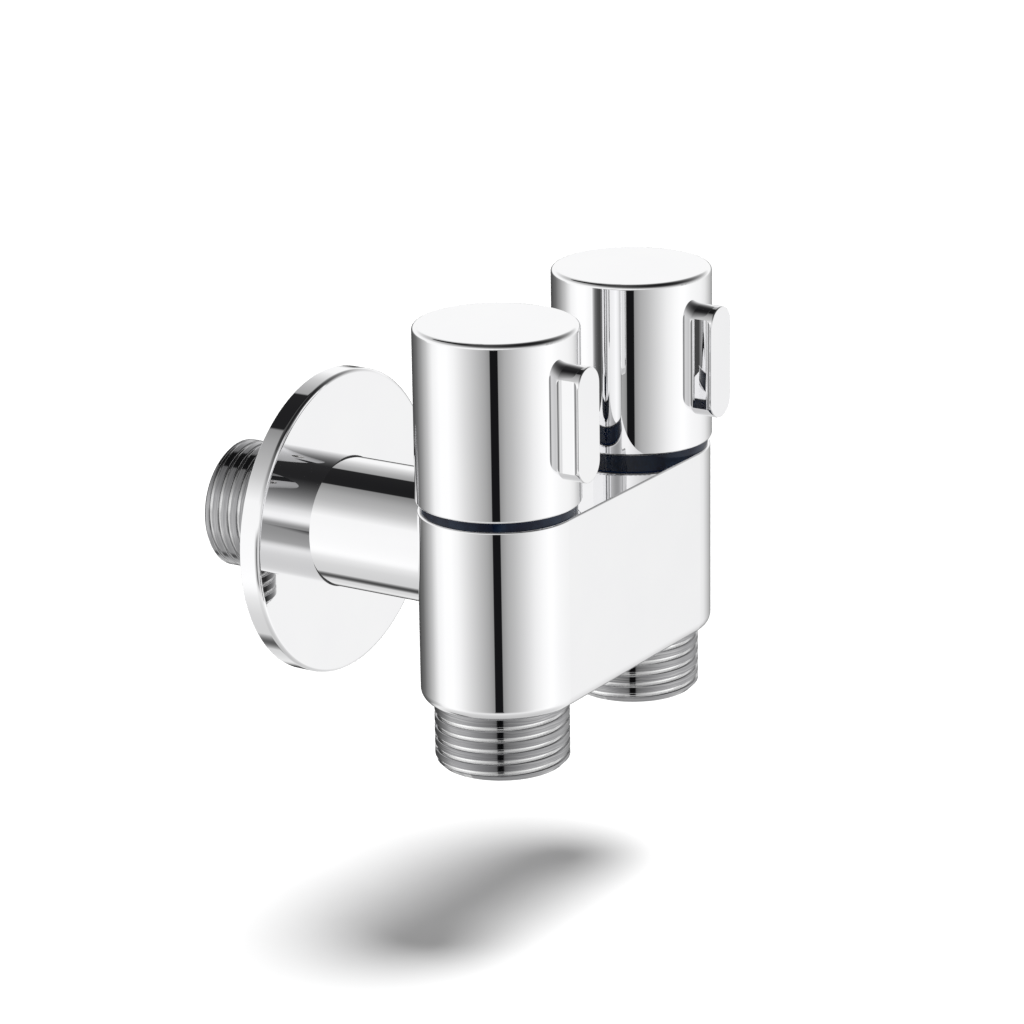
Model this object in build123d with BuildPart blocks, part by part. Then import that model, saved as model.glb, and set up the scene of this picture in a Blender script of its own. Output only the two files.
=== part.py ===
from build123d import *
from math import cos, pi, radians, sin, tan
import os

# Two-way angle valve: one inlet from the wall, two quarter-turn outlets pointing down.
# Millimetres, +Z up. The origin is on the inlet axis where it meets the finished wall.
# +X runs along the body's long side, +Y goes into the wall, the front looks along -Y.

# ---- overall sizes
outlet_spacing = 40.0        # between the two outlet axes
projection = 45.5            # from the wall to the outlet axes
body_d = 25.0                # round ends of the body, and its depth
body_top = 14.3              # above the inlet axis
body_bottom = -16.2
body_lower_round = 2.0
body_upper_round = 0.3
handle_d = body_d + 0.5      # the handle just overhangs the body
handle_h = 27.7
handle_gap = 1.4             # shadow line between body and handle
ring_recess = 0.4            # the ring in that gap sits this far inside the body's outline
handle_top_round = 0.8
handle_lower_round = 0.4
tube_d = 21.3
flange_d = 50.0
flange_t = 3.5

# ---- pipe thread G 1/2
thread_r = 20.955 / 2
thread_root_r = 18.631 / 2
thread_pitch = 25.4 / 14
thread_flank = radians(27.5)
thread_root_flat = 0.15
thread_first_land = 0.35
outlet_thread_len = 10.3
outlet_end_chamfer = 0.9
inlet_thread_len = 17.8
inlet_end_chamfer = 0.5

# ---- fits
fit = 0.03                   # screwed or pressed pairs, radial
run = 0.10                   # pairs that turn or slide, radial
free = 0.30                  # turning pieces with nothing to guide them
seal_fit = 0.01              # soft rings against their lands

# ---- derived positions
body_y = -projection
body_back = body_y + body_d / 2
handle_bottom = body_top + handle_gap
handle_top = handle_bottom + handle_h
sides = (("left", -outlet_spacing / 2), ("right", outlet_spacing / 2))

# ---- headwork (quarter-turn cartridge), heights from the inlet axis
head_r = body_d / 2 - 2.5            # screw thread of the headwork
head_flange_r = head_r + 1.0
head_flange_t = 1.2
head_flange_bottom = body_top - head_flange_t
head_play = 0.3                      # the flange seats first, so the thread's end stays clear
chamber_r = head_r - 0.75            # water space around the cartridge
chamber_floor = body_bottom + 6.2
chamber_top = chamber_floor + 13.5
cage_r = chamber_r - 1.1
cage_wall = 1.0
cage_bore_r = cage_r - cage_wall
cage_bottom = chamber_floor + 0.8
seal_top = chamber_floor + 2.4
disc_t = 2.6
disc_gap = 0.02
fixed_disc_top = seal_top + disc_t
turning_disc_bottom = fixed_disc_top + disc_gap
turning_disc_top = turning_disc_bottom + disc_t
foot_bottom = turning_disc_top + disc_gap
foot_t = 3.0
drive_inner_r = 3.0
drive_angle = 40.0
drive_depth = 1.2
drive_play = 0.1
foot_top = foot_bottom + foot_t
washer_t = 0.8
washer_gap = 0.08
cage_roof = foot_top + washer_t + 2 * washer_gap
port_inner_r = 1.3
port_outer_r = cage_bore_r - 2.3
port_angle = 74.0
window_angle = 80.0
window_bottom = turning_disc_bottom + 0.3
window_top = foot_bottom + 1.9

# ---- headwork top end
hex_flats = 2 * head_r - 3.0
hex_h = 5.4
hex_top = body_top + hex_h
neck_r = 6.5
neck_top = hex_top + 5.3
stop_h = 2.8                         # height of the quarter-turn stop
stop_floor = neck_top - stop_h
shank_r = 5.0                        # sealed part of the spindle
shank_bore_r = shank_r + run
stem_r = 3.95                        # upper part of the spindle
stop_bore_r = stem_r + 0.25
lug_angle = 60.0
turn = 90.0
lug_play = 1.0
ring_section_r = 0.58                # spindle O-rings
ring_groove_r = shank_bore_r - 2 * ring_section_r - 3 * seal_fit
ring_groove_w = 1.5
shank_top = stop_floor - 0.4
ring_heights = (cage_roof + 3.2, cage_roof + 7.2)
head_ring_r = 0.85                   # O-ring under the headwork flange
head_ring_w = 1.9
head_ring_z = head_flange_bottom - 0.3 - head_ring_w / 2

# ---- handle inside
handle_r = handle_d / 2
shell_t = 1.85
handle_bore_r = handle_r - shell_t
roof_t = 2.6
roof_z = handle_top - roof_t
clip_t = 0.8
clip_groove = 0.6
clip_side_play = 0.1
clip_z = neck_top + 0.2
hub_bottom = clip_z + clip_t + 2.0
hub_r = 6.6
insert_r = 5.2
insert_bottom = hub_bottom + 0.2
insert_top = roof_z - 1.3
spline_bottom = insert_bottom - 0.1
stem_top = insert_top - 0.8
spline_teeth = 20
spline_depth = 0.45
spline_play = 0.07
screw_r = 2.0
screw_z = (hub_bottom + roof_z) / 2 - 0.6
screw_len = handle_r - stem_r - 0.8
rib_w = 7.4
rib_h = 8.0

# ---- lever tab on the handle, from the handle's axis
tab_reach = handle_r + 3.5
tab_half_w = 3.1
tab_waist_w = 2.8
tab_root_w = 3.3
tab_h = 0.65 * handle_h
tab_z = (handle_bottom + handle_top) / 2 + 0.2
tab_edge = 0.2
tab_lip = 0.25
tab_flare = 0.9

# ---- inlet tube
tube_r = tube_d / 2
inlet_start = 0.0                    # the thread starts level with the wall
spigot_r = min(9.0, outlet_spacing / 2 - head_r - 1.0)
spigot_len = body_d / 2 - 3.5
spigot_gap = 0.2                     # left at the bottom of the socket
tube_bore_r = spigot_r - 2.5
spigot_ring_r = 0.7
spigot_ring_w = 1.6
gallery_r = 4.5
strainer_rim_r = tube_bore_r + 0.7
strainer_rim_t = 1.2
strainer_r = tube_bore_r - 0.9
strainer_wall = 0.4
strainer_len = 15.0
strainer_hole_r = 0.107 * strainer_r
strainer_row_step = 2.2
strainer_inset = 0.5                 # rim below the end of the tube
outlet_bore_r = 5.5

# ---- wall flange
flange_r = flange_d / 2
flange_wall = 1.0
flange_edge = 0.7
flange_hub_r = tube_r + 3.2
flange_bore_r = tube_r + run
flange_ring_r = 0.8
flange_ring_w = 1.8
flange_groove_r = flange_bore_r + 1.55


def thread_outline(length, end_chamfer):
    """Half section of a thread drawn as rings: radius first, distance from the shoulder second."""
    half_root = thread_root_flat / 2
    half_open = half_root + (thread_r - thread_root_r) * tan(thread_flank)
    points = [(0, 0), (thread_r, 0)]
    centre = half_open + thread_first_land
    while centre + half_open < length - end_chamfer:
        points.append((thread_r, centre - half_open))
        points.append((thread_root_r, centre - half_root))
        points.append((thread_root_r, centre + half_root))
        points.append((thread_r, centre + half_open))
        centre += thread_pitch
    points.append((thread_r, length - end_chamfer))
    points.append((thread_r - end_chamfer, length))
    points.append((0, length))
    return points


def spline_outline(tip_r, root_r):
    """Points of the toothed section shared by the spindle and its socket."""
    step = 2 * pi / spline_teeth
    points = []
    for tooth in range(spline_teeth):
        middle = tooth * step
        for radius, share in ((root_r, -0.40), (tip_r, -0.18), (tip_r, 0.18), (root_r, 0.40)):
            angle = middle + share * step
            points.append((radius * cos(angle), radius * sin(angle)))
    return points


def sector_outline(inner_r, outer_r, middle, width):
    """Corner points of a ring sector, angles in degrees."""
    start = radians(middle - width / 2)
    stop = radians(middle + width / 2)
    centre = radians(middle)
    inner = [(inner_r * cos(a), inner_r * sin(a)) for a in (start, centre, stop)]
    outer = [(outer_r * cos(a), outer_r * sin(a)) for a in (start, centre, stop)]
    return inner, outer


def draw_sector(inner_r, outer_r, middle, width, mode=Mode.ADD):
    """Ring sector inside the sketch that is open."""
    inner, outer = sector_outline(inner_r, outer_r, middle, width)
    with BuildLine() as outline:
        ThreePointArc(*inner)
        Line(inner[2], outer[2])
        ThreePointArc(outer[2], outer[1], outer[0])
        Line(outer[0], inner[0])
    make_face(outline.edges(), mode=mode)


def level(x, z):
    """Horizontal plane on one outlet axis."""
    return Plane(origin=(x, body_y, z), x_dir=(1, 0, 0), z_dir=(0, 0, 1))


def column(x):
    """Upright plane on one outlet axis: local x is the radius, local y is the height."""
    return Plane(origin=(x, body_y, 0), x_dir=(1, 0, 0), z_dir=(0, -1, 0))


def upright(x):
    """Vertical axis of one outlet."""
    return Axis((x, body_y, 0), (0, 0, 1))


def along(y):
    """Plane across the inlet axis, looking into the wall."""
    return Plane(origin=(0, y, 0), x_dir=(1, 0, 0), z_dir=(0, 1, 0))


def disc(plane, radius, height):
    """Add a plain cylinder to the part that is open."""
    with BuildSketch(plane) as drawing:
        Circle(radius)
    extrude(drawing.sketch, amount=height)


def bore(plane, radius, depth):
    """Cut a plain round hole from the part that is open."""
    with BuildSketch(plane) as drawing:
        Circle(radius)
    extrude(drawing.sketch, amount=depth, mode=Mode.SUBTRACT)


def o_ring(plane, axis, centre, section_r):
    """Add a rubber ring to the part that is open."""
    with BuildSketch(plane) as drawing:
        with Locations(centre):
            Circle(section_r)
    revolve(drawing.sketch, axis=axis)


def save(builder, name):
    """Label one piece and write it out."""
    builder.part.label = name
    export_step(builder.part, f"parts/{name}.step")


os.makedirs("parts", exist_ok=True)
inlet_axis = Axis((0, 0, 0), (0, 1, 0))
inlet_half = Plane(origin=(0, 0, 0), x_dir=(1, 0, 0), z_dir=(0, 0, 1))

# ---- valve body: one casting with both outlet threads
with BuildPart() as valve_body:
    with BuildSketch(Plane(origin=(0, body_y, body_bottom), x_dir=(1, 0, 0), z_dir=(0, 0, 1))):
        SlotCenterToCenter(outlet_spacing, body_d)
    extrude(amount=body_top - body_bottom)
    fillet(valve_body.faces().sort_by(Axis.Z)[0].edges(), radius=body_lower_round)
    fillet(valve_body.faces().sort_by(Axis.Z)[-1].edges(), radius=body_upper_round)
    for side, x in sides:
        shoulder = Plane(origin=(x, body_y, body_bottom), x_dir=(1, 0, 0), z_dir=(0, 1, 0))
        with BuildSketch(shoulder):
            with BuildLine():
                Polyline(*thread_outline(outlet_thread_len, outlet_end_chamfer), close=True)
            make_face()
        revolve(axis=upright(x))
    for side, x in sides:
        outlet_end = body_bottom - outlet_thread_len
        bore(level(x, outlet_end), outlet_bore_r, chamber_floor - outlet_end + 1)
        bore(level(x, chamber_floor), chamber_r, chamber_top - chamber_floor)
        bore(level(x, chamber_top), head_r + fit, body_top - chamber_top)
        bore(level(x, head_flange_bottom), head_flange_r + 0.1, head_flange_t)
    bore(along(body_back - spigot_len), spigot_r + fit, spigot_len)
    bore(along(body_y - gallery_r), tube_bore_r, gallery_r + spigot_len)
    with BuildSketch(Plane(origin=(0, body_y, 0), x_dir=(0, 1, 0), z_dir=(1, 0, 0))):
        Circle(gallery_r)
    extrude(amount=outlet_spacing / 2, both=True, mode=Mode.SUBTRACT)
save(valve_body, "valve_body")

# ---- inlet tube: screwed into the back of the body, threaded for the wall fitting
with BuildPart() as inlet_tube:
    disc(along(body_back), tube_r, inlet_start - body_back)
    disc(along(body_back - spigot_len + spigot_gap), spigot_r, spigot_len)
    with BuildSketch(Plane(origin=(0, inlet_start, 0), x_dir=(1, 0, 0), z_dir=(0, 0, 1))):
        with BuildLine():
            Polyline(*thread_outline(inlet_thread_len - inlet_start, inlet_end_chamfer), close=True)
        make_face()
    revolve(axis=inlet_axis)
    groove_y = body_back - 1.2 - spigot_ring_w / 2
    with BuildSketch(along(groove_y - spigot_ring_w / 2)):
        Circle(spigot_r + 1)
        Circle(spigot_r + fit - 2 * (spigot_ring_r + seal_fit), mode=Mode.SUBTRACT)
    extrude(amount=spigot_ring_w, mode=Mode.SUBTRACT)
    bore(along(body_back - spigot_len), tube_bore_r, spigot_len - body_back + inlet_thread_len)
    rim_seat = strainer_rim_t + strainer_inset
    bore(along(inlet_thread_len - rim_seat), strainer_rim_r + fit, rim_seat)
save(inlet_tube, "inlet_tube")

with BuildPart() as tube_seal:
    seal_centre = (spigot_r + fit - spigot_ring_r - seal_fit, groove_y)
    o_ring(inlet_half, inlet_axis, seal_centre, spigot_ring_r)
save(tube_seal, "tube_seal")

# ---- strainer: perforated cup dropped into the inlet end
strainer_mouth = inlet_thread_len - strainer_inset
with BuildPart() as strainer:
    disc(along(strainer_mouth - strainer_rim_t), strainer_rim_r, strainer_rim_t)
    disc(along(strainer_mouth - strainer_len), strainer_r, strainer_len)
    bore(along(strainer_mouth - strainer_len + strainer_wall), strainer_r - strainer_wall, strainer_len)
    rows = int((strainer_len - strainer_rim_t - 2.0) / strainer_row_step)
    for row in range(rows):
        row_y = strainer_mouth - strainer_len + 1.6 + strainer_row_step * row
        for step in range(6):
            angle = radians(30 * step + 15 * (row % 2))
            across = (cos(angle), 0, sin(angle))
            with BuildSketch(Plane(origin=(0, row_y, 0), x_dir=(0, 1, 0), z_dir=across)):
                Circle(strainer_hole_r)
            extrude(amount=strainer_r + 1, both=True, mode=Mode.SUBTRACT)
    with BuildSketch(along(strainer_mouth - strainer_len - 0.5)):
        with PolarLocations(strainer_r * 0.55, 8):
            Circle(strainer_hole_r)
        Circle(strainer_hole_r)
    extrude(amount=strainer_wall + 1, mode=Mode.SUBTRACT)
save(strainer, "inlet_strainer")

# ---- wall flange: a shallow cup that slides on the tube, with a rubber ring in its hub
flange_ring_y = -flange_t / 2 + 0.2
with BuildPart() as wall_flange:
    disc(along(-flange_t), flange_r, flange_t)
    fillet(wall_flange.edges().sort_by(Axis.Y)[0], radius=flange_edge)
    with BuildSketch(along(-flange_t + flange_wall)):
        Circle(flange_r - flange_wall)
        Circle(flange_hub_r, mode=Mode.SUBTRACT)
    extrude(amount=flange_t, mode=Mode.SUBTRACT)
    bore(along(-flange_t), flange_bore_r, flange_t)
    with BuildSketch(along(flange_ring_y - flange_ring_w / 2)):
        Circle(flange_groove_r)
    extrude(amount=flange_ring_w, mode=Mode.SUBTRACT)
save(wall_flange, "wall_flange")

with BuildPart() as flange_ring:
    ring_centre = (tube_r + 2 * seal_fit + flange_ring_r, flange_ring_y)
    o_ring(inlet_half, inlet_axis, ring_centre, flange_ring_r)
save(flange_ring, "flange_ring")


def make_headwork(x):
    """Brass housing of one cartridge: cage, thread, flange, hexagon and neck."""
    with BuildPart() as piece:
        disc(level(x, cage_bottom), cage_r, chamber_top - cage_bottom)
        disc(level(x, chamber_top), cage_r, head_play)
        disc(level(x, chamber_top + head_play), head_r, head_flange_bottom - chamber_top - head_play)
        disc(level(x, head_flange_bottom), head_flange_r, head_flange_t)
        with BuildSketch(level(x, body_top)):
            RegularPolygon(hex_flats / 2, 6, major_radius=False)
        extrude(amount=hex_h)
        disc(level(x, hex_top), neck_r, neck_top - hex_top)
        with BuildSketch(level(x, head_ring_z - head_ring_w / 2)):
            Circle(head_r + 1)
            Circle(head_r + fit - 2 * (head_ring_r + seal_fit), mode=Mode.SUBTRACT)
        extrude(amount=head_ring_w, mode=Mode.SUBTRACT)
        bore(level(x, cage_bottom), cage_bore_r, cage_roof - cage_bottom)
        bore(level(x, cage_roof), shank_bore_r, stop_floor - cage_roof)
        bore(level(x, stop_floor), stop_bore_r, stop_h)
        with BuildSketch(level(x, stop_floor)):
            open_width = turn + lug_angle + 2 * lug_play
            draw_sector(stop_bore_r - 0.5, shank_bore_r, -90 + turn / 2, open_width)
        extrude(amount=stop_h, mode=Mode.SUBTRACT)
        with BuildSketch(level(x, window_bottom)):
            draw_sector(cage_bore_r - 1, cage_r + 1, 0, window_angle)
            draw_sector(cage_bore_r - 1, cage_r + 1, 180, window_angle)
        extrude(amount=window_top - window_bottom, mode=Mode.SUBTRACT)
    return piece


def make_spindle(x):
    """Brass spindle: driving foot, sealed shank, stop lug, clip groove and splined end."""
    with BuildPart() as piece:
        disc(level(x, foot_bottom), cage_bore_r - free, foot_t)
        disc(level(x, foot_top), shank_r, shank_top - foot_top)
        disc(level(x, shank_top), stem_r, spline_bottom - shank_top)
        with BuildSketch(level(x, spline_bottom)):
            with BuildLine():
                Polyline(*spline_outline(stem_r, stem_r - spline_depth), close=True)
            make_face()
        extrude(amount=stem_top - spline_bottom)
        with BuildSketch(level(x, stop_floor + 0.3)):
            draw_sector(stem_r - 0.5, shank_r - 0.05, -90, lug_angle)
        extrude(amount=stop_h - 0.5)
        for ring_z in ring_heights:
            with BuildSketch(level(x, ring_z - ring_groove_w / 2)):
                Circle(shank_r + 1)
                Circle(ring_groove_r, mode=Mode.SUBTRACT)
            extrude(amount=ring_groove_w, mode=Mode.SUBTRACT)
        with BuildSketch(level(x, clip_z - clip_side_play)):
            Circle(stem_r + 1)
            Circle(stem_r - clip_groove, mode=Mode.SUBTRACT)
        extrude(amount=clip_t + 2 * clip_side_play, mode=Mode.SUBTRACT)
        with BuildSketch(level(x, foot_bottom - 1)):
            for middle in (90, 270):
                draw_sector(port_outer_r, cage_bore_r, middle, window_angle)
        extrude(amount=foot_t - 0.1, mode=Mode.SUBTRACT)
        with BuildSketch(level(x, foot_bottom - drive_depth)):
            for middle in (0, 180):
                draw_sector(drive_inner_r, port_outer_r, middle, drive_angle)
        extrude(amount=drive_depth + foot_t / 2)
    return piece


def make_turning_disc(x):
    """Upper ceramic disc: two open quarters let water through, two sockets take the foot."""
    with BuildPart() as piece:
        disc(level(x, turning_disc_bottom), cage_bore_r - free, disc_t)
        with BuildSketch(level(x, turning_disc_bottom)):
            for middle in (90, 270):
                draw_sector(port_inner_r, cage_bore_r + 1, middle, window_angle)
        extrude(amount=disc_t, mode=Mode.SUBTRACT)
        with BuildSketch(level(x, turning_disc_top - drive_depth - 2 * drive_play)):
            for middle in (0, 180):
                draw_sector(drive_inner_r - drive_play, port_outer_r + drive_play, middle, drive_angle + 3)
        extrude(amount=drive_depth + 2 * drive_play, mode=Mode.SUBTRACT)
    return piece


def make_fixed_disc(x):
    """Lower ceramic disc with its two ports towards the gallery."""
    with BuildPart() as piece:
        disc(level(x, seal_top), cage_bore_r - fit, disc_t)
        with BuildSketch(level(x, seal_top)):
            for middle in (0, 180):
                draw_sector(port_inner_r, port_outer_r, middle, port_angle)
        extrude(amount=disc_t, mode=Mode.SUBTRACT)
    return piece


def make_seat_seal(x):
    """Rubber seat squeezed between the casting and the lower disc."""
    with BuildPart() as piece:
        with BuildSketch(level(x, chamber_floor)):
            Circle(cage_bore_r - 2 * fit)
            Circle(port_outer_r + 0.2, mode=Mode.SUBTRACT)
        extrude(amount=seal_top - chamber_floor)
    return piece


def make_head_ring(x):
    """O-ring under the flange of the housing."""
    with BuildPart() as piece:
        o_ring(column(x), upright(x), (head_r + fit - head_ring_r - seal_fit, head_ring_z), head_ring_r)
    return piece


def make_glide_ring(x):
    """Plastic ring in the shadow gap; its skirt guides the handle."""
    hex_corner_r = hex_flats / 2 / cos(pi / 6)
    with BuildPart() as piece:
        disc(level(x, body_top), body_d / 2 - ring_recess, handle_gap - run)
        disc(level(x, body_top), handle_bore_r - run, hex_h - 1.0)
        bore(level(x, body_top), hex_corner_r + fit, hex_h)
    return piece


def make_shaft_rings(x):
    """The two O-rings of one spindle."""
    with BuildPart() as piece:
        for ring_z in ring_heights:
            o_ring(column(x), upright(x), (ring_groove_r + ring_section_r + seal_fit, ring_z), ring_section_r)
    return piece


def make_thrust_washer(x):
    """Low-friction washer between the foot and the roof of the cage."""
    with BuildPart() as piece:
        with BuildSketch(level(x, foot_top + washer_gap)):
            Circle(cage_bore_r - free)
            Circle(shank_r + run, mode=Mode.SUBTRACT)
        extrude(amount=washer_t)
    return piece


def make_clip(x):
    """Open ring that keeps the spindle in the housing."""
    with BuildPart() as piece:
        with BuildSketch(level(x, clip_z)):
            Circle(neck_r - 0.7)
            Circle(stem_r - clip_groove + 0.05, mode=Mode.SUBTRACT)
            draw_sector(stem_r - 1.5, neck_r + 1, 90, 50, mode=Mode.SUBTRACT)
        extrude(amount=clip_t)
    return piece


def make_lever(x):
    """Lever tab: straight sides that flare at the root and at the lip, rounded ends seen from the front."""
    root_y = body_y - handle_r + 1.5
    flare_y = body_y - handle_r + 0.5
    neck_y = body_y - handle_r - 0.2
    tip_y = body_y - tab_reach
    lip_y = tip_y + tab_lip
    side_end_y = lip_y + tab_flare
    with BuildPart() as piece:
        with BuildSketch(Plane.XY.offset(tab_z - tab_h / 2)):
            with BuildLine():
                Line((x, root_y), (x - tab_root_w, root_y))
                Line((x - tab_root_w, root_y), (x - tab_root_w, flare_y))
                TangentArc((x - tab_waist_w, neck_y), (x - tab_root_w, flare_y), tangent=(0, 1))
                Line((x - tab_waist_w, neck_y), (x - tab_waist_w, side_end_y))
                TangentArc((x - tab_waist_w, side_end_y), (x - tab_half_w, lip_y), tangent=(0, -1))
                Line((x - tab_half_w, lip_y), (x - tab_half_w, tip_y))
                Line((x - tab_half_w, tip_y), (x, tip_y))
                mirror(about=Plane.YZ.offset(x))
            make_face()
        extrude(amount=tab_h)
        with BuildSketch(Plane(origin=(x, root_y + 1, tab_z), x_dir=(0, 0, 1), z_dir=(0, -1, 0))):
            SlotOverall(tab_h, 2 * tab_half_w)
        extrude(amount=tab_reach + 2, mode=Mode.INTERSECT)
        fillet(piece.faces().sort_by(Axis.Y)[0].edges(), radius=tab_edge)
    return piece


def make_handle(x):
    """Cast handle: cup, lever, hub for the insert and rib for the grub screw."""
    lever = make_lever(x)
    screw_plane = Plane(origin=(x, body_y, screw_z), x_dir=(1, 0, 0), z_dir=(0, 1, 0))
    with BuildPart() as piece:
        disc(level(x, handle_bottom), handle_r, handle_h)
        fillet(piece.edges().filter_by(GeomType.CIRCLE).sort_by(Axis.Z)[-1], radius=handle_top_round)
        fillet(piece.edges().filter_by(GeomType.CIRCLE).sort_by(Axis.Z)[0], radius=handle_lower_round)
        add(lever.part)
        bore(level(x, handle_bottom), handle_bore_r, roof_z - handle_bottom)
        disc(level(x, hub_bottom), hub_r, roof_z - hub_bottom)
        with BuildSketch(Plane.XY.offset(screw_z - rib_h / 2)):
            with Locations((x, body_y + handle_bore_r / 2 + 0.3)):
                Rectangle(rib_w, handle_bore_r)
        extrude(amount=rib_h)
        bore(level(x, hub_bottom - 1), insert_r + 0.05, insert_top - hub_bottom + 1.1)
        bore(screw_plane, screw_r + fit, handle_r + 1)
    return piece


def make_insert(x):
    """Plastic socket between the spindle's spline and the hub."""
    screw_plane = Plane(origin=(x, body_y, screw_z), x_dir=(1, 0, 0), z_dir=(0, 1, 0))
    with BuildPart() as piece:
        disc(level(x, insert_bottom), insert_r, insert_top - insert_bottom)
        with BuildSketch(level(x, insert_bottom)):
            with BuildLine():
                Polyline(*spline_outline(stem_r + spline_play, stem_r - spline_depth + spline_play), close=True)
            make_face()
        extrude(amount=stem_top + 0.3 - insert_bottom, mode=Mode.SUBTRACT)
        bore(screw_plane, screw_r + 0.1, handle_r)
    return piece


def make_grub_screw(x):
    """Socket screw that clamps the handle to the spindle from behind."""
    tip_y = body_y + stem_r + fit
    with BuildPart() as piece:
        disc(Plane(origin=(x, tip_y, screw_z), x_dir=(1, 0, 0), z_dir=(0, 1, 0)), screw_r, screw_len)
        chamfer(piece.edges().filter_by(GeomType.CIRCLE), length=0.35)
        with BuildSketch(Plane(origin=(x, tip_y + screw_len, screw_z), x_dir=(1, 0, 0), z_dir=(0, -1, 0))):
            RegularPolygon(1.0, 6, major_radius=False)
        extrude(amount=2.4, mode=Mode.SUBTRACT)
    return piece


makers = {
    "headwork": make_headwork,
    "head_seal": make_head_ring,
    "seat_seal": make_seat_seal,
    "fixed_disc": make_fixed_disc,
    "glide_ring": make_glide_ring,
    "turning_disc": make_turning_disc,
    "spindle": make_spindle,
    "spindle_seals": make_shaft_rings,
    "thrust_washer": make_thrust_washer,
    "clip": make_clip,
    "handle": make_handle,
    "handle_insert": make_insert,
    "grub_screw": make_grub_screw,
}
for side, x in sides:
    for name, maker in makers.items():
        save(maker(x), f"{side}_{name}")
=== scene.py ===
# %% [markdown]
# # A chrome two-way angle valve
# The valve brings water out of a wall through one threaded tube and sends it down through two outlets.
# Each outlet has its own quarter-turn handle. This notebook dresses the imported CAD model. It keeps the
# pieces whose shape is already right, rebuilds the ones that deserve finer geometry (the pipe threads and
# the turned wall flange), and gives every piece a finish of its own.

# %% Load the CAD model
import math

import bmesh
import bpy
from mathutils import Matrix, Vector


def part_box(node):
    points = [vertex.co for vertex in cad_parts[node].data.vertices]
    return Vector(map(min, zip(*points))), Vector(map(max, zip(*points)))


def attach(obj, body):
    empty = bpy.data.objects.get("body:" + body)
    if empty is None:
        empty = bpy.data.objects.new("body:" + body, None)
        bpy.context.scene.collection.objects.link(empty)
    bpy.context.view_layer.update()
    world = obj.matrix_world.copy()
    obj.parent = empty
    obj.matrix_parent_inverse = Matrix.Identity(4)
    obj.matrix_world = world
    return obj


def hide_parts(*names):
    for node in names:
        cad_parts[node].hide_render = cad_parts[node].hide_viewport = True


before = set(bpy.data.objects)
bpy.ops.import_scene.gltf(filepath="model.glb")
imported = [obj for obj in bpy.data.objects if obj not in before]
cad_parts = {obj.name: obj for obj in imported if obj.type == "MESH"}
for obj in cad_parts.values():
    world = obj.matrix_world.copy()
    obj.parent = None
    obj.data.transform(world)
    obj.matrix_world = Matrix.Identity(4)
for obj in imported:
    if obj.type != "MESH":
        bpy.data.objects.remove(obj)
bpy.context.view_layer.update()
MM = 0.001

# %% [markdown]
# ## Where the axes are
# The positions below are read from the boxes of the CAD nodes, so the dressed model follows the CAD. The
# thread sizes are those of a half-inch parallel pipe thread, fourteen turns to the inch.

# %% Read the main positions and sizes
body_low, body_high = (Vector(corner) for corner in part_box("valve_body"))
handle_boxes = {side: [Vector(corner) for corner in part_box(f"{side}_handle")] for side in ("left", "right")}
outlet_x = {side: (low.x + high.x) / 2 for side, (low, high) in handle_boxes.items()}
body_y = (body_low.y + body_high.y) / 2
flange_low, flange_high = (Vector(corner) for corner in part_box("wall_flange"))
ring_low, ring_high = (Vector(corner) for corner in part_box("flange_ring"))
tube_low, tube_high = (Vector(corner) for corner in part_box("inlet_tube"))
THREAD_CREST = 20.955 / 2 * MM
THREAD_PITCH = 25.4 / 14 * MM
THREAD_DEPTH = 0.60 * MM
OUTLET_THREAD = 10.3 * MM
OUTLET_CHAMFER = 0.9 * MM
INLET_CHAMFER = 0.5 * MM
OUTLET_BORE = 5.5 * MM
TUBE_BORE = 6.5 * MM
shoulder_z = body_low.z + OUTLET_THREAD
print("outlet axes at x =", {side: round(x / MM, 2) for side, x in outlet_x.items()}, "y =", round(body_y / MM, 2))
print("outlet shoulder at z =", round(shoulder_z / MM, 2), "tube ends at y =", round(tube_high.y / MM, 2))

# %% [markdown]
# ## Camera
# A long lens a little above the valve and to its left, as a catalogue would show it. The azimuth is
# counted from the front, the elevation from level, and the aim point is moved to frame the valve.

# %% Place the camera
AZIMUTH = math.radians(57.63)
ELEVATION = math.radians(17.67)
ROLL = math.radians(-0.88)
DISTANCE = 645.5 * MM
AIM_RIGHT = 8.83 * MM
AIM_UP = -7.69 * MM
LENS = 144.35
SENSOR_WIDTH = 36
CLIP_START = 10 * MM

level = math.cos(ELEVATION)
back = Vector((-math.sin(AZIMUTH) * level, -math.cos(AZIMUTH) * level, math.sin(ELEVATION)))
right = (-back).cross(Vector((0, 0, 1))).normalized()
up = right.cross(-back)
right, up = (right * math.cos(ROLL) + up * math.sin(ROLL), up * math.cos(ROLL) - right * math.sin(ROLL))

camera_data = bpy.data.cameras.new("camera")
camera_data.lens = LENS
camera_data.sensor_width = SENSOR_WIDTH
camera_data.clip_start = CLIP_START
camera = bpy.data.objects.new("camera", camera_data)
bpy.context.scene.collection.objects.link(camera)
pivot = Vector((0, body_y, 0))
place = pivot + back * DISTANCE - right * AIM_RIGHT - up * AIM_UP
turn = Matrix((right, up, back)).transposed().to_4x4()
camera.matrix_world = Matrix.Translation(place) @ turn
bpy.context.scene.camera = camera
print("camera stands at", [round(v, 3) for v in place])

# %% [markdown]
# ## Small helpers for node trees
# Materials, the world and Geometry Nodes are all made of nodes and links. One helper adds a node and fills
# its sockets: a number sets the socket, another node's output is linked to it. The second one writes a sum
# as a Math node, and the third fills a colour ramp with greys.

# %% Node helpers


def add_node(tree, kind, inputs=None, **settings):
    """Adds a node, sets its properties and its sockets; a socket given as an input takes a link."""
    node = tree.nodes.new(kind)
    for name, value in settings.items():
        setattr(node, name, value)
    for name, value in (inputs or {}).items():
        if isinstance(value, bpy.types.NodeSocket):
            tree.links.new(value, node.inputs[name])
        else:
            node.inputs[name].default_value = value
    return node


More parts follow.
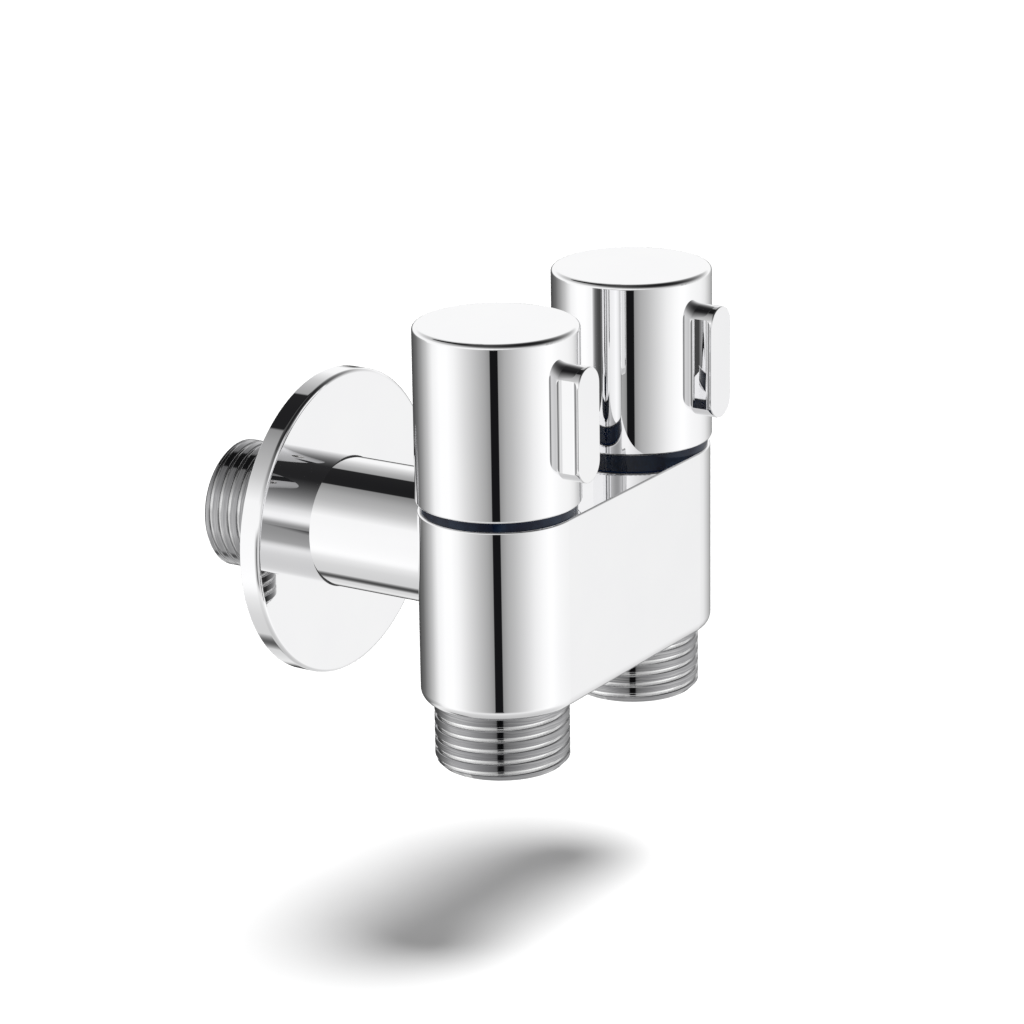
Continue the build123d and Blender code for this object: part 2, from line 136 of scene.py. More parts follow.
def sum_node(tree, operation, *values):
    """One Math node; returns its result socket."""
    return add_node(tree, "ShaderNodeMath", dict(enumerate(values)), operation=operation).outputs[0]


def map_node(tree, value, from_min, from_max, to_min=0.0, to_max=1.0, kind="LINEAR"):
    """One Map Range node, clamped; returns its result socket."""
    ends = {"Value": value, "From Min": from_min, "From Max": from_max, "To Min": to_min, "To Max": to_max}
    return add_node(tree, "ShaderNodeMapRange", ends, interpolation_type=kind).outputs[0]


def set_ramp(node, stops):
    """Fills a colour ramp with grey stops, each (position, brightness)."""
    ramp = node.color_ramp
    while len(ramp.elements) > 1:
        ramp.elements.remove(ramp.elements[-1])
    for place_in_list, (position, value) in enumerate(stops):
        element = ramp.elements[0] if place_in_list == 0 else ramp.elements.new(position)
        element.position = position
        element.color = (value, value, value, 1)


print("helpers ready")

# %% [markdown]
# ## Studio light
# Polished chrome shows nothing but its surroundings, so the light tent is the most important finish here.
# It is a world shader, worked out from the direction of each ray. The wall of the tent is bright to both
# sides of the camera and falls off towards a narrow dark slot, the gap the camera looks through. The roof
# darkens upwards, with one round opening over the wall that draws the black band along the top of the tube.
# A wide soft one over the front deepens what the flange mirrors, and a smaller one below draws the thin line
# along the tube's underside. The slot is open only a little below level, so that it doesn't cut across the
# tube. Azimuth is counted from the camera's side.

# %% Ray directions for the tent
world = bpy.data.worlds.new("light_tent")
bpy.context.scene.world = world
world.use_nodes = True
tent = world.node_tree
tent.nodes.clear()
coordinate = add_node(tent, "ShaderNodeTexCoord")
direction = add_node(
    tent, "ShaderNodeVectorMath", {0: coordinate.outputs["Generated"]}, operation="NORMALIZE").outputs[0]
toward = Vector((back.x, back.y, 0)).normalized()
sideways = Vector((-toward.y, toward.x, 0))


def along(vector):
    """How much a ray points along a direction, from -1 to 1."""
    return add_node(tent, "ShaderNodeVectorMath", {0: direction, 1: vector}, operation="DOT_PRODUCT").outputs["Value"]


azimuth = sum_node(tent, "ARCTAN2", along(sideways), along(toward))
azimuth = map_node(tent, azimuth, -math.pi, math.pi)
upward = along(Vector((0, 0, 1)))
elevation = sum_node(tent, "ARCSINE", upward)
elevation = map_node(tent, elevation, -math.pi / 2, math.pi / 2)
print("tent looks along", [round(v, 3) for v in toward])

# %% Wall and roof of the tent
WALL_GREYS = (
    (-180, 0.06), (-160, 0.08), (-140, 0.16), (-126, 0.33), (-112, 0.57), (-98, 0.95), (-85, 1.06), (-72, 1.06),
    (-60, 0.96), (-44, 0.74), (-28, 0.54), (-16, 0.40), (-8, 0.27), (0, 0.26), (6, 0.36), (11, 0.44), (20, 0.53),
    (34, 0.70), (50, 0.90), (62, 1.0), (76, 1.08), (92, 1.0), (115, 0.94), (128, 0.84), (142, 0.62), (165, 0.30),
    (180, 0.06))
ROOF_GREYS = (
    (-90, 0.55), (-65, 0.62), (-50, 0.72), (-35, 0.95), (0, 1.0), (19, 0.98), (26, 0.80), (33, 0.62), (40, 0.50),
    (52, 0.37), (57, 0.27), (60, 0.12), (66, 0.10), (78, 0.20), (90, 0.26))
ROOF_STARTS = (-6, 6)
FLOOR_STARTS = (-30, -42)


def turn_share(angle):
    """Where an azimuth in degrees falls on the wall's ramp, from 0 to 1."""
    return (angle + 180) / 360


def height_share(angle):
    """Where an elevation in degrees falls on the roof's ramp, from 0 to 1."""
    return (angle + 90) / 180


wall = add_node(tent, "ShaderNodeValToRGB", {"Fac": azimuth})
set_ramp(wall, [(turn_share(angle), value) for angle, value in WALL_GREYS])
roof = add_node(tent, "ShaderNodeValToRGB", {"Fac": elevation})
set_ramp(roof, [(height_share(angle), value) for angle, value in ROOF_GREYS])
rise = map_node(tent, elevation, *map(height_share, ROOF_STARTS), kind="SMOOTHSTEP")
fall = map_node(tent, elevation, *map(height_share, FLOOR_STARTS), kind="SMOOTHSTEP")
away = sum_node(tent, "MAXIMUM", rise, fall)
mixed = add_node(tent, "ShaderNodeMix", {0: away, 6: wall.outputs[0], 7: roof.outputs[0]}, data_type="RGBA").outputs[2]
print("tent wall has", len(WALL_GREYS), "greys and the roof", len(ROOF_GREYS))

# %% Slot and round openings of the tent
SLOT_TURN = math.radians(-3.6)
SLOT_HALF = math.radians(4.9)
SLOT_EDGE = math.radians(0.8)
SLOT_TOP = (-10, -7)
SLOT_FOOT = (-30, -36)
BEHIND_CAMERA = (0.05, 0.0)


def height_of(angle):
    """The upward part of a ray at an elevation in degrees."""
    return math.sin(math.radians(angle))


slot_side = sideways * math.cos(SLOT_TURN) - toward * math.sin(SLOT_TURN)
slot_offset = sum_node(tent, "ABSOLUTE", along(slot_side))
slot = map_node(tent, slot_offset, math.sin(SLOT_HALF), math.sin(SLOT_HALF + SLOT_EDGE))
above = map_node(tent, upward, *map(height_of, SLOT_TOP), kind="SMOOTHSTEP")
below = map_node(tent, upward, *map(height_of, SLOT_FOOT), kind="SMOOTHSTEP")
behind = map_node(tent, along(toward), *BEHIND_CAMERA)
slot = sum_node(tent, "MAXIMUM", sum_node(tent, "MAXIMUM", slot, behind), sum_node(tent, "MAXIMUM", above, below))


def round_opening(centre, inner, outer, rest):
    """A round dark opening of the tent: rest inside the inner angle, 1 outside the outer one."""
    cosine = along(Vector(centre).normalized())
    return map_node(tent, cosine, math.cos(math.radians(inner)), math.cos(math.radians(outer)), rest, 1.0)


floor_spot = round_opening((0.12, 0.51, -0.85), inner=2.0, outer=9.0, rest=0.10)
roof_spot = round_opening((0.149, 0.51, 0.847), inner=15.5, outer=17.0, rest=0.03)
front_roof = round_opening((0.149, -0.51, 0.847), inner=16.0, outer=72.0, rest=0.04)
low_openings = sum_node(tent, "MULTIPLY", slot, floor_spot)
high_openings = sum_node(tent, "MULTIPLY", roof_spot, front_roof)
openings = sum_node(tent, "MULTIPLY", low_openings, high_openings)
print("tent openings:", "slot", round(2 * math.degrees(SLOT_HALF), 1), "degrees wide")

# %% Put the tent together
OPENING_BLACK = (0.008, 0.008, 0.009, 1)
open_tent = add_node(tent, "ShaderNodeMix", {0: openings, 6: OPENING_BLACK, 7: mixed}, data_type="RGBA").outputs[2]
seen = add_node(tent, "ShaderNodeLightPath").outputs["Is Camera Ray"]
tent_shader = add_node(tent, "ShaderNodeBackground", {"Color": open_tent, "Strength": 1.0}).outputs[0]
plain = add_node(tent, "ShaderNodeBackground", {"Color": (1, 1, 1, 1), "Strength": 1.0}).outputs[0]
chosen = add_node(tent, "ShaderNodeMixShader", {0: seen, 1: tent_shader, 2: plain}).outputs[0]
add_node(tent, "ShaderNodeOutputWorld", {"Surface": chosen})
print("tent built with", len(tent.nodes), "nodes")

# %% [markdown]
# ## Floor and sun
# The valve hangs a little above a sheet of white paper. A sun with a very wide angle gives one soft blob of
# shadow under it. Neither the paper nor the sun shows in the chrome, which sees only the tent.

# %% Floor and sun
FLOOR_Z = -57 * MM
FLOOR_HALF = 3.0
PAPER = (0.88, 0.88, 0.88, 1)
SUN_ANGLE = math.radians(30)
SUN_ENERGY = 3.6
SUN_LEAN = 0.34
floor_mesh = bpy.data.meshes.new("floor")
corners = [(x * FLOOR_HALF, y * FLOOR_HALF, FLOOR_Z) for x, y in ((-1, -1), (1, -1), (1, 1), (-1, 1))]
floor_mesh.from_pydata(corners, [], [(0, 1, 2, 3)])
floor = bpy.data.objects.new("floor", floor_mesh)
bpy.context.scene.collection.objects.link(floor)
floor.visible_glossy = False
paper = bpy.data.materials.new("paper")
paper.use_nodes = True
paper_shader = paper.node_tree.nodes["Principled BSDF"]
paper_shader.inputs["Base Color"].default_value = PAPER
paper_shader.inputs["Roughness"].default_value = 0.9
paper_shader.inputs["Specular IOR Level"].default_value = 0
floor_mesh.materials.append(paper)

sun_data = bpy.data.lights.new("wide_sun", "SUN")
sun_data.angle = SUN_ANGLE
sun_data.energy = SUN_ENERGY
sun = bpy.data.objects.new("wide_sun", sun_data)
sun.visible_glossy = False
sun.rotation_euler = (right * SUN_LEAN + Vector((0, 0, 1))).to_track_quat("Z", "Y").to_euler()
bpy.context.scene.collection.objects.link(sun)
bpy.context.scene.view_settings.view_transform = "Standard"
print("floor at z =", round(FLOOR_Z / MM, 1), "sun angle", round(math.degrees(sun_data.angle)))

# %% [markdown]
# ## Effects that several finishes share
# Three small node groups hold what more than one material uses. Edge wear and highlight turns the curvature
# of the mesh into a mask: real wear on most finishes, and on the threads a painted highlight along the crest
# edges. Handling varies the roughness in soft patches, as wiping and fingerprints do, and gives a fine grain
# for the skin. Tool lines are the fine rings a lathe leaves on a threaded piece. Each group puts out plain
# values; the Principled shader itself stays in the material.

# %% Group helper and edge wear


def start_group(name, inputs, outputs):
    """An empty shader group with named sockets; returns the tree, its input node and its output node."""
    group = bpy.data.node_groups.new(name, "ShaderNodeTree")
    for socket_name, kind, value in inputs:
        socket = group.interface.new_socket(socket_name, in_out="INPUT", socket_type=kind)
        if value is not None:
            socket.default_value = value
    for socket_name, kind in outputs:
        group.interface.new_socket(socket_name, in_out="OUTPUT", socket_type=kind)
    return group, group.nodes.new("NodeGroupInput"), group.nodes.new("NodeGroupOutput")


def noise(tree, vector, scale, detail=3.0):
    """One noise texture; returns its value socket."""
    return add_node(tree, "ShaderNodeTexNoise", {"Vector": vector, "Scale": scale, "Detail": detail}).outputs[0]


wear, wear_in, wear_out = start_group(
    "edge_wear_and_highlight",
    [("Curvature", "NodeSocketFloat", 0.5), ("Position", "NodeSocketVector", None),
     ("Start", "NodeSocketFloat", 0.52), ("End", "NodeSocketFloat", 0.60), ("Patches", "NodeSocketFloat", 300.0)],
    [("Mask", "NodeSocketFloat")])
edge = map_node(wear, wear_in.outputs["Curvature"], wear_in.outputs["Start"], wear_in.outputs["End"])
patch = map_node(wear, noise(wear, wear_in.outputs["Position"], wear_in.outputs["Patches"]), 0.35, 0.65)
wear.links.new(sum_node(wear, "MULTIPLY", edge, patch), wear_out.inputs["Mask"])
print("group edge_wear_and_highlight:", len(wear.nodes), "nodes")

# %% Handling: soft patches of roughness
GRAIN = 2600.0
handling, handling_in, handling_out = start_group(
    "handling",
    [("Position", "NodeSocketVector", None), ("Patches", "NodeSocketFloat", 90.0),
     ("Smooth", "NodeSocketFloat", 0.01), ("Dull", "NodeSocketFloat", 0.03), ("Wear", "NodeSocketFloat", 0.0),
     ("Wear Adds", "NodeSocketFloat", 0.05)],
    [("Roughness", "NodeSocketFloat"), ("Patch", "NodeSocketFloat"), ("Height", "NodeSocketFloat")])
cloud = noise(handling, handling_in.outputs["Position"], handling_in.outputs["Patches"], 4.0)
spread = map_node(handling, cloud, 0.3, 0.7, handling_in.outputs["Smooth"], handling_in.outputs["Dull"])
added = sum_node(handling, "MULTIPLY_ADD", handling_in.outputs["Wear"], handling_in.outputs["Wear Adds"], spread)
handling.links.new(added, handling_out.inputs["Roughness"])
handling.links.new(map_node(handling, cloud, 0.3, 0.7), handling_out.inputs["Patch"])
handling.links.new(noise(handling, handling_in.outputs["Position"], GRAIN, 2.0), handling_out.inputs["Height"])
print("group handling:", len(handling.nodes), "nodes")

# %% Tool lines: the rings a lathe leaves
lines, lines_in, lines_out = start_group(
    "tool_lines",
    [("Along Axis", "NodeSocketFloat", 0.0), ("Position", "NodeSocketVector", None),
     ("Spacing", "NodeSocketFloat", 0.0002)],
    [("Height", "NodeSocketFloat"), ("Shade", "NodeSocketFloat")])
count = sum_node(lines, "DIVIDE", lines_in.outputs["Along Axis"], lines_in.outputs["Spacing"])
drift = sum_node(lines, "MULTIPLY_ADD", noise(lines, lines_in.outputs["Position"], 400.0, 1.0), 2.5, count)
ring_value = add_node(
    lines, "ShaderNodeTexNoise", {"W": drift, "Scale": 1.0, "Detail": 2.0}, noise_dimensions="1D").outputs[0]
lines.links.new(ring_value, lines_out.inputs["Height"])
lines.links.new(map_node(lines, ring_value, 0.35, 0.65), lines_out.inputs["Shade"])
print("group tool_lines:", len(lines.nodes), "nodes")

# %% [markdown]
# ## Finishes
# Every finish is built the same way: object coordinates and the mesh's curvature go into the shared groups,
# and the groups drive base colour, roughness and a very small bump. Mirror chrome needs its bump to be far
# below what the eye would call a texture, or its reflections break up; rubber and plastic can take more.

# %% A finish from colours, roughness and bump


def place_group(tree, group, inputs):
    """Puts a shared group in a material and fills its sockets."""
    return add_node(tree, "ShaderNodeGroup", inputs, node_tree=group)


def mix_colours(tree, factor, first, second):
    """Blends two colours; returns the colour socket."""
    return add_node(tree, "ShaderNodeMix", {0: factor, 6: first, 7: second}, data_type="RGBA").outputs[2]


def make_finish(
        name, base, patchy, wear_and_highlight, metallic, smooth, dull, wear_adds, bump, wear_and_highlight_range=(0.52, 0.60), lathe_axis=None):
    """One procedural finish; colours are linear, bump is the height of the skin in metres."""
    finish = bpy.data.materials.new(name)
    finish.use_nodes = True
    tree = finish.node_tree
    shader = tree.nodes["Principled BSDF"]
    position = add_node(tree, "ShaderNodeTexCoord").outputs["Object"]
    curvature = add_node(tree, "ShaderNodeNewGeometry").outputs["Pointiness"]
    wear_and_highlight_node = place_group(tree, wear, {
        "Curvature": curvature, "Position": position, "Start": wear_and_highlight_range[0], "End": wear_and_highlight_range[1]})
    wear_and_highlight_mask = wear_and_highlight_node.outputs["Mask"]
    handled = place_group(tree, handling, {
        "Position": position, "Smooth": smooth, "Dull": dull, "Wear": wear_and_highlight_mask, "Wear Adds": wear_adds})
    colour = mix_colours(tree, handled.outputs["Patch"], (*base, 1), (*patchy, 1))
    height = handled.outputs["Height"]
    if lathe_axis:
        axis_value = add_node(tree, "ShaderNodeSeparateXYZ", {0: position}).outputs[lathe_axis]
        turned = place_group(tree, lines, {"Along Axis": axis_value, "Position": position})
        height = turned.outputs["Height"]
        colour = mix_colours(tree, turned.outputs["Shade"], colour, (*patchy, 1))
        # The cut share from the thread tree paints the groove in the light colour: a painted highlight for the bright
        # lines that the groove's edges catch.
        cut = add_node(tree, "ShaderNodeAttribute", attribute_name="cut").outputs["Fac"]
        colour = mix_colours(tree, cut, colour, (*wear_and_highlight, 1))
    # Where the curvature mask is high the light colour goes on: real wear on most finishes, and on the threads a
    # painted highlight along the crest edges.
    colour = mix_colours(tree, wear_and_highlight_mask, colour, (*wear_and_highlight, 1))
    tree.links.new(colour, shader.inputs["Base Color"])
    tree.links.new(handled.outputs["Roughness"], shader.inputs["Roughness"])
    skin = add_node(tree, "ShaderNodeBump", {"Height": height, "Strength": 1.0, "Distance": bump})
    tree.links.new(skin.outputs[0], shader.inputs["Normal"])
    shader.inputs["Metallic"].default_value = metallic
    return finish


print("finish maker ready")

# %% Chrome: mirror bright outside, turned on the threads
finishes = {"polished_chrome": make_finish(
    "polished_chrome", base=(0.95, 0.95, 0.955), patchy=(0.935, 0.935, 0.945), wear_and_highlight=(0.90, 0.90, 0.91),
    metallic=1.0, smooth=0.004, dull=0.016, wear_adds=0.02, bump=2e-8)}
# On the threads the light wear colour is a painted highlight, along the crest edges and in the groove.
for name, axis in (("outlet_thread_chrome", "Z"), ("inlet_thread_chrome", "Y")):
    finishes[name] = make_finish(
        name, base=(0.54, 0.54, 0.54), patchy=(0.30, 0.30, 0.31), wear_and_highlight=(0.96, 0.96, 0.96),
        metallic=1.0, smooth=0.05, dull=0.09, wear_adds=-0.02, bump=6e-6, wear_and_highlight_range=(0.53, 0.62), lathe_axis=axis)
print("chrome finishes:", sorted(finishes))

# %% [markdown]
# The inside of the valve is brass, hard ceramic, stainless steel, rubber and two plastics. From the front only
# the dark glide rings show; the grub screws and the strainer show from behind. Each inner piece still has its
# own finish, as each would on the bench.

# %% Inner finishes
inner_looks = {
    "raw_brass": {
        "base": (0.62, 0.42, 0.16), "patchy": (0.55, 0.36, 0.13), "wear_and_highlight": (0.80, 0.62, 0.32),
        "metallic": 1.0, "smooth": 0.18, "dull": 0.30, "wear_adds": -0.08, "bump": 6e-7},
    "stainless": {
        "base": (0.56, 0.55, 0.53), "patchy": (0.48, 0.47, 0.46), "wear_and_highlight": (0.72, 0.71, 0.69),
        "metallic": 1.0, "smooth": 0.22, "dull": 0.34, "wear_adds": -0.06, "bump": 5e-7},
    "alumina": {
        "base": (0.84, 0.81, 0.74), "patchy": (0.78, 0.75, 0.68), "wear_and_highlight": (0.90, 0.88, 0.83),
        "metallic": 0.0, "smooth": 0.16, "dull": 0.26, "wear_adds": 0.08, "bump": 2e-7},
    "black_rubber": {
        "base": (0.020, 0.020, 0.021), "patchy": (0.028, 0.028, 0.029), "wear_and_highlight": (0.06, 0.06, 0.06),
        "metallic": 0.0, "smooth": 0.48, "dull": 0.62, "wear_adds": 0.12, "bump": 3e-6},
    "navy_plastic": {
        "base": (0.001, 0.003, 0.012), "patchy": (0.002, 0.004, 0.016), "wear_and_highlight": (0.01, 0.02, 0.04),
        "metallic": 0.0, "smooth": 0.05, "dull": 0.10, "wear_adds": 0.06, "bump": 2e-7},
    "white_plastic": {
        "base": (0.78, 0.78, 0.76), "patchy": (0.72, 0.72, 0.69), "wear_and_highlight": (0.86, 0.86, 0.85),
        "metallic": 0.0, "smooth": 0.26, "dull": 0.38, "wear_adds": 0.12, "bump": 8e-7},
}
for name, look in inner_looks.items():
    finishes[name] = make_finish(name, **look)
finishes["navy_plastic"].node_tree.nodes["Principled BSDF"].inputs["Specular IOR Level"].default_value = 0.25
print("finishes:", sorted(finishes))

# %% [markdown]
# ## Geometry Nodes: helpers
# A tree that makes a piece is built here in the script. Its sizes are named inputs, which are set on the
# modifier by the socket's identifier before the object is first evaluated. The evaluated object then gives a
# plain mesh, so that nothing is left to compute when the piece rides on its CAD body.

# %% Make a plain mesh from a tree


def start_shape_tree(name, sizes):
    """An empty geometry tree with a Geometry input, named sizes and a Material input."""
    tree = bpy.data.node_groups.new(name, "GeometryNodeTree")
    tree.interface.new_socket("Geometry", in_out="OUTPUT", socket_type="NodeSocketGeometry")
    tree.interface.new_socket("Geometry", in_out="INPUT", socket_type="NodeSocketGeometry")
    for size_name, kind, value in sizes:
        socket = tree.interface.new_socket(size_name, in_out="INPUT", socket_type=kind)
        if value is not None:
            socket.default_value = value
    tree.interface.new_socket("Material", in_out="INPUT", socket_type="NodeSocketMaterial")
    return tree, tree.nodes.new("NodeGroupInput"), tree.nodes.new("NodeGroupOutput")


WELD = 1e-6


def close_and_finish(tree, made, given, result):
    """Welds the seam, realizes instances, sets the material and ends the tree."""
    welded = add_node(tree, "GeometryNodeMergeByDistance", {"Geometry": made, "Distance": WELD}).outputs[0]
    real = add_node(tree, "GeometryNodeRealizeInstances", {"Geometry": welded}).outputs[0]
    painted = add_node(tree, "GeometryNodeSetMaterial", {"Geometry": real, "Material": given.outputs["Material"]})
    tree.links.new(painted.outputs[0], result.inputs["Geometry"])


def bake_shape(name, tree, values, start_mesh=None, sharp=35):
    """Runs a tree once and returns an object that holds its plain mesh, welded, closed and facing outwards."""
    piece = bpy.data.objects.new(name, start_mesh or bpy.data.meshes.new(f"{name}_start"))
    bpy.context.scene.collection.objects.link(piece)
    maker = piece.modifiers.new(tree.name, "NODES")
    maker.node_group = tree
    sockets = {item.name: item.identifier for item in tree.interface.items_tree if item.in_out == "INPUT"}
    for size_name, value in values.items():
        maker[sockets[size_name]] = value
    graph = bpy.context.evaluated_depsgraph_get()
    mesh = bpy.data.meshes.new_from_object(piece.evaluated_get(graph))
    piece.modifiers.clear()
    piece.data = mesh
    mesh.name = name
    shape = bmesh.new()
    shape.from_mesh(mesh)
    bmesh.ops.recalc_face_normals(shape, faces=shape.faces)
    open_edges = sum(1 for one in shape.edges if len(one.link_faces) != 2)
    shape.to_mesh(mesh)
    shape.free()
    for face in mesh.polygons:
        face.use_smooth = True
    mesh.set_sharp_from_angle(angle=math.radians(sharp))
    print(name, "has", len(mesh.polygons), "faces and", open_edges, "open edges")
    return piece


# %% [markdown]
# ## The pipe threads
# A pipe thread is one groove cut along a helix. A sheet of points is bent into a closed sleeve: one row for
# the foot of the bore, one for its top, and many for the outside. The outer rows climb by one pitch per turn,
# so each row stays at the same place in the groove and the crests come out clean. Rows that would leave the
# sleeve are held at its ends, where they weld together. The crests are left broad and flat, and
# the groove fades out at the shoulder. The tree also stores how deep each point is cut, so that the finish
# can paint the groove brighter than the crests: a painted highlight that stands in for the bright lines
# the groove's edges catch.

# %% Thread tree: from rows and columns to a helix
ROWS_PER_TURN = 40
ROWS_BEFORE_OUTSIDE = 2
thread_tree, thread_given, thread_result = start_shape_tree("pipe_thread", [
    ("Length", "NodeSocketFloat", 0.01), ("Crest Radius", "NodeSocketFloat", 0.0105),
    ("Groove Depth", "NodeSocketFloat", 0.0009), ("Pitch", "NodeSocketFloat", 0.0018),
    ("Bore Radius", "NodeSocketFloat", 0.0055), ("End Chamfer", "NodeSocketFloat", 0.0009),
    ("Columns", "NodeSocketInt", 129), ("Rows", "NodeSocketInt", 100), ("Place", "NodeSocketVector", None),
    ("Turn", "NodeSocketVector", None)])


def size_of(name):
    """The socket of a named size of the thread tree."""
    return thread_given.outputs[name]


def thread_sum(operation, *values):
    """One Math node in the thread tree."""
    return sum_node(thread_tree, operation, *values)


sheet = add_node(thread_tree, "GeometryNodeMeshGrid", {
    "Size X": 1.0, "Size Y": 1.0, "Vertices X": size_of("Columns"), "Vertices Y": size_of("Rows")}).outputs[0]
sheet_position = add_node(thread_tree, "GeometryNodeInputPosition").outputs[0]
spot_on_sheet = add_node(thread_tree, "ShaderNodeSeparateXYZ", {0: sheet_position})
around = thread_sum("ADD", spot_on_sheet.outputs["X"], 0.5)
row_count = thread_sum("SUBTRACT", size_of("Rows"), 1)
row = thread_sum("ROUND", thread_sum("MULTIPLY", thread_sum("ADD", spot_on_sheet.outputs["Y"], 0.5), row_count))
climb = thread_sum("DIVIDE", thread_sum("SUBTRACT", row, ROWS_BEFORE_OUTSIDE), ROWS_PER_TURN)
turns_down = thread_sum("SUBTRACT", climb, 1)
free_height = thread_sum("MULTIPLY", thread_sum("ADD", turns_down, around), size_of("Pitch"))
outer_height = thread_sum("MINIMUM", thread_sum("MAXIMUM", free_height, 0.0), size_of("Length"))
print("thread tree: rows climb", ROWS_PER_TURN, "to a turn")

# %% Thread tree: groove, fade and chamfer
GROOVE_FLOOR = 0.09
GROOVE_EDGE = 0.21
FADE_FROM = 0.25 * MM
FADE_TO = 1.0 * MM
TURNS_TO_STAY_POSITIVE = 8.0
turns_up = thread_sum("DIVIDE", outer_height, size_of("Pitch"))
phase = thread_sum("FRACT", thread_sum("ADD", thread_sum("SUBTRACT", turns_up, around), TURNS_TO_STAY_POSITIVE))
from_groove = thread_sum("ABSOLUTE", thread_sum("SUBTRACT", phase, 0.5))
groove = map_node(thread_tree, from_groove, GROOVE_FLOOR, GROOVE_EDGE, 1.0, 0.0, kind="SMOOTHSTEP")
fade_in = map_node(thread_tree, outer_height, FADE_FROM, FADE_TO, kind="SMOOTHSTEP")
cut_share = thread_sum("MULTIPLY", groove, fade_in)
cut_depth = thread_sum("MULTIPLY", cut_share, size_of("Groove Depth"))
threaded = thread_sum("SUBTRACT", size_of("Crest Radius"), cut_depth)
to_end = thread_sum("SUBTRACT", size_of("Length"), outer_height)
chamfered = thread_sum("ADD", thread_sum("SUBTRACT", size_of("Crest Radius"), size_of("End Chamfer")), to_end)
outer_radius = thread_sum("MINIMUM", threaded, chamfered)
print("thread tree: groove is", round(2 * GROOVE_EDGE * THREAD_PITCH / MM, 2), "mm wide at the crest")

# %% Thread tree: choose bore or outside, bend the sheet and place it
is_first_row = thread_sum("LESS_THAN", row, 0.5)
is_last_row = thread_sum("GREATER_THAN", row, thread_sum("SUBTRACT", row_count, 0.5))
is_bore = thread_sum("MAXIMUM", thread_sum("LESS_THAN", row, 1.5), is_last_row)
bore_height = thread_sum("MULTIPLY", thread_sum("MAXIMUM", is_first_row, is_last_row), size_of("Length"))


def either(outside, inside):
    """The outside value, or the inside one on the rows of the bore."""
    return add_node(thread_tree, "ShaderNodeMix", {0: is_bore, 2: outside, 3: inside}, data_type="FLOAT").outputs[0]


radius = either(outer_radius, size_of("Bore Radius"))
height = either(outer_height, bore_height)
angle = thread_sum("MULTIPLY", around, 2 * math.pi)
bent = add_node(thread_tree, "ShaderNodeCombineXYZ", {
    "X": thread_sum("MULTIPLY", radius, thread_sum("COSINE", angle)),
    "Y": thread_sum("MULTIPLY", radius, thread_sum("SINE", angle)), "Z": height}).outputs[0]
# The cut share is stored on the points; the thread finish uses it to paint a highlight into the groove.
marked = add_node(thread_tree, "GeometryNodeStoreNamedAttribute", {
    "Geometry": sheet, "Name": "cut", "Value": cut_share}, data_type="FLOAT", domain="POINT").outputs[0]
sleeve = add_node(thread_tree, "GeometryNodeSetPosition", {"Geometry": marked, "Position": bent}).outputs[0]
thread_way = add_node(thread_tree, "FunctionNodeEulerToRotation", {0: size_of("Turn")}).outputs[0]
placed = add_node(thread_tree, "GeometryNodeTransform", {
    "Geometry": sleeve, "Translation": size_of("Place"), "Rotation": thread_way}).outputs[0]
close_and_finish(thread_tree, placed, thread_given, thread_result)
print("thread tree has", len(thread_tree.nodes), "nodes")

# %% Make the three threads


SPARE_ROWS = 5


def make_thread(name, length, bore, chamfer, place_at, turned, finish):
    """One thread sleeve, built along +Z from its shoulder, then turned and placed."""
    rows = math.ceil(ROWS_PER_TURN * (length / THREAD_PITCH + 1)) + SPARE_ROWS
    return bake_shape(name, thread_tree, {
        "Length": length, "Crest Radius": THREAD_CREST, "Groove Depth": THREAD_DEPTH, "Pitch": THREAD_PITCH,
        "Bore Radius": bore, "End Chamfer": chamfer, "Rows": rows, "Place": place_at, "Turn": turned,
        "Material": finishes[finish]}, sharp=60)


threads = {
    side: make_thread(
        f"{side}_outlet_thread", OUTLET_THREAD, OUTLET_BORE, OUTLET_CHAMFER, (x, body_y, shoulder_z),
        (math.pi, 0, 0), "outlet_thread_chrome")
    for side, x in outlet_x.items()}
threads["inlet"] = make_thread(
    "inlet_thread", tube_high.y, TUBE_BORE, INLET_CHAMFER, (0, 0, 0), (-math.pi / 2, 0, 0), "inlet_thread_chrome")
for piece in threads.values():
    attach(piece, "valve")

# %% [markdown]
# ## Room for the threads
# The CAD body carries simple ringed threads. A welded copy of it is cut off at the shoulder and closed
# there, and the helical sleeves take the place of what was cut away. The copy keeps the exact CAD
# normals on everything that stays, found again corner by corner from each corner's place and its face,
# because a mirror finish shows every small error in them.

# %% Cut a welded copy at a plane


def place_key(*points):
    """A key that finds the same place again in another mesh."""
    return tuple(round(value / MM, 3) for point in points for value in point)


def corner_normals(mesh):
    """The normal of each face corner, by the corner's place and the middle of its face."""
    found = {}
    for face in mesh.polygons:
        for corner in face.loop_indices:
            at = mesh.vertices[mesh.loops[corner].vertex_index].co
            found[place_key(at, face.center)] = mesh.corner_normals[corner].vector.copy()
    return found


BODY_WELD = 5e-7
ON_PLANE = 1e-7


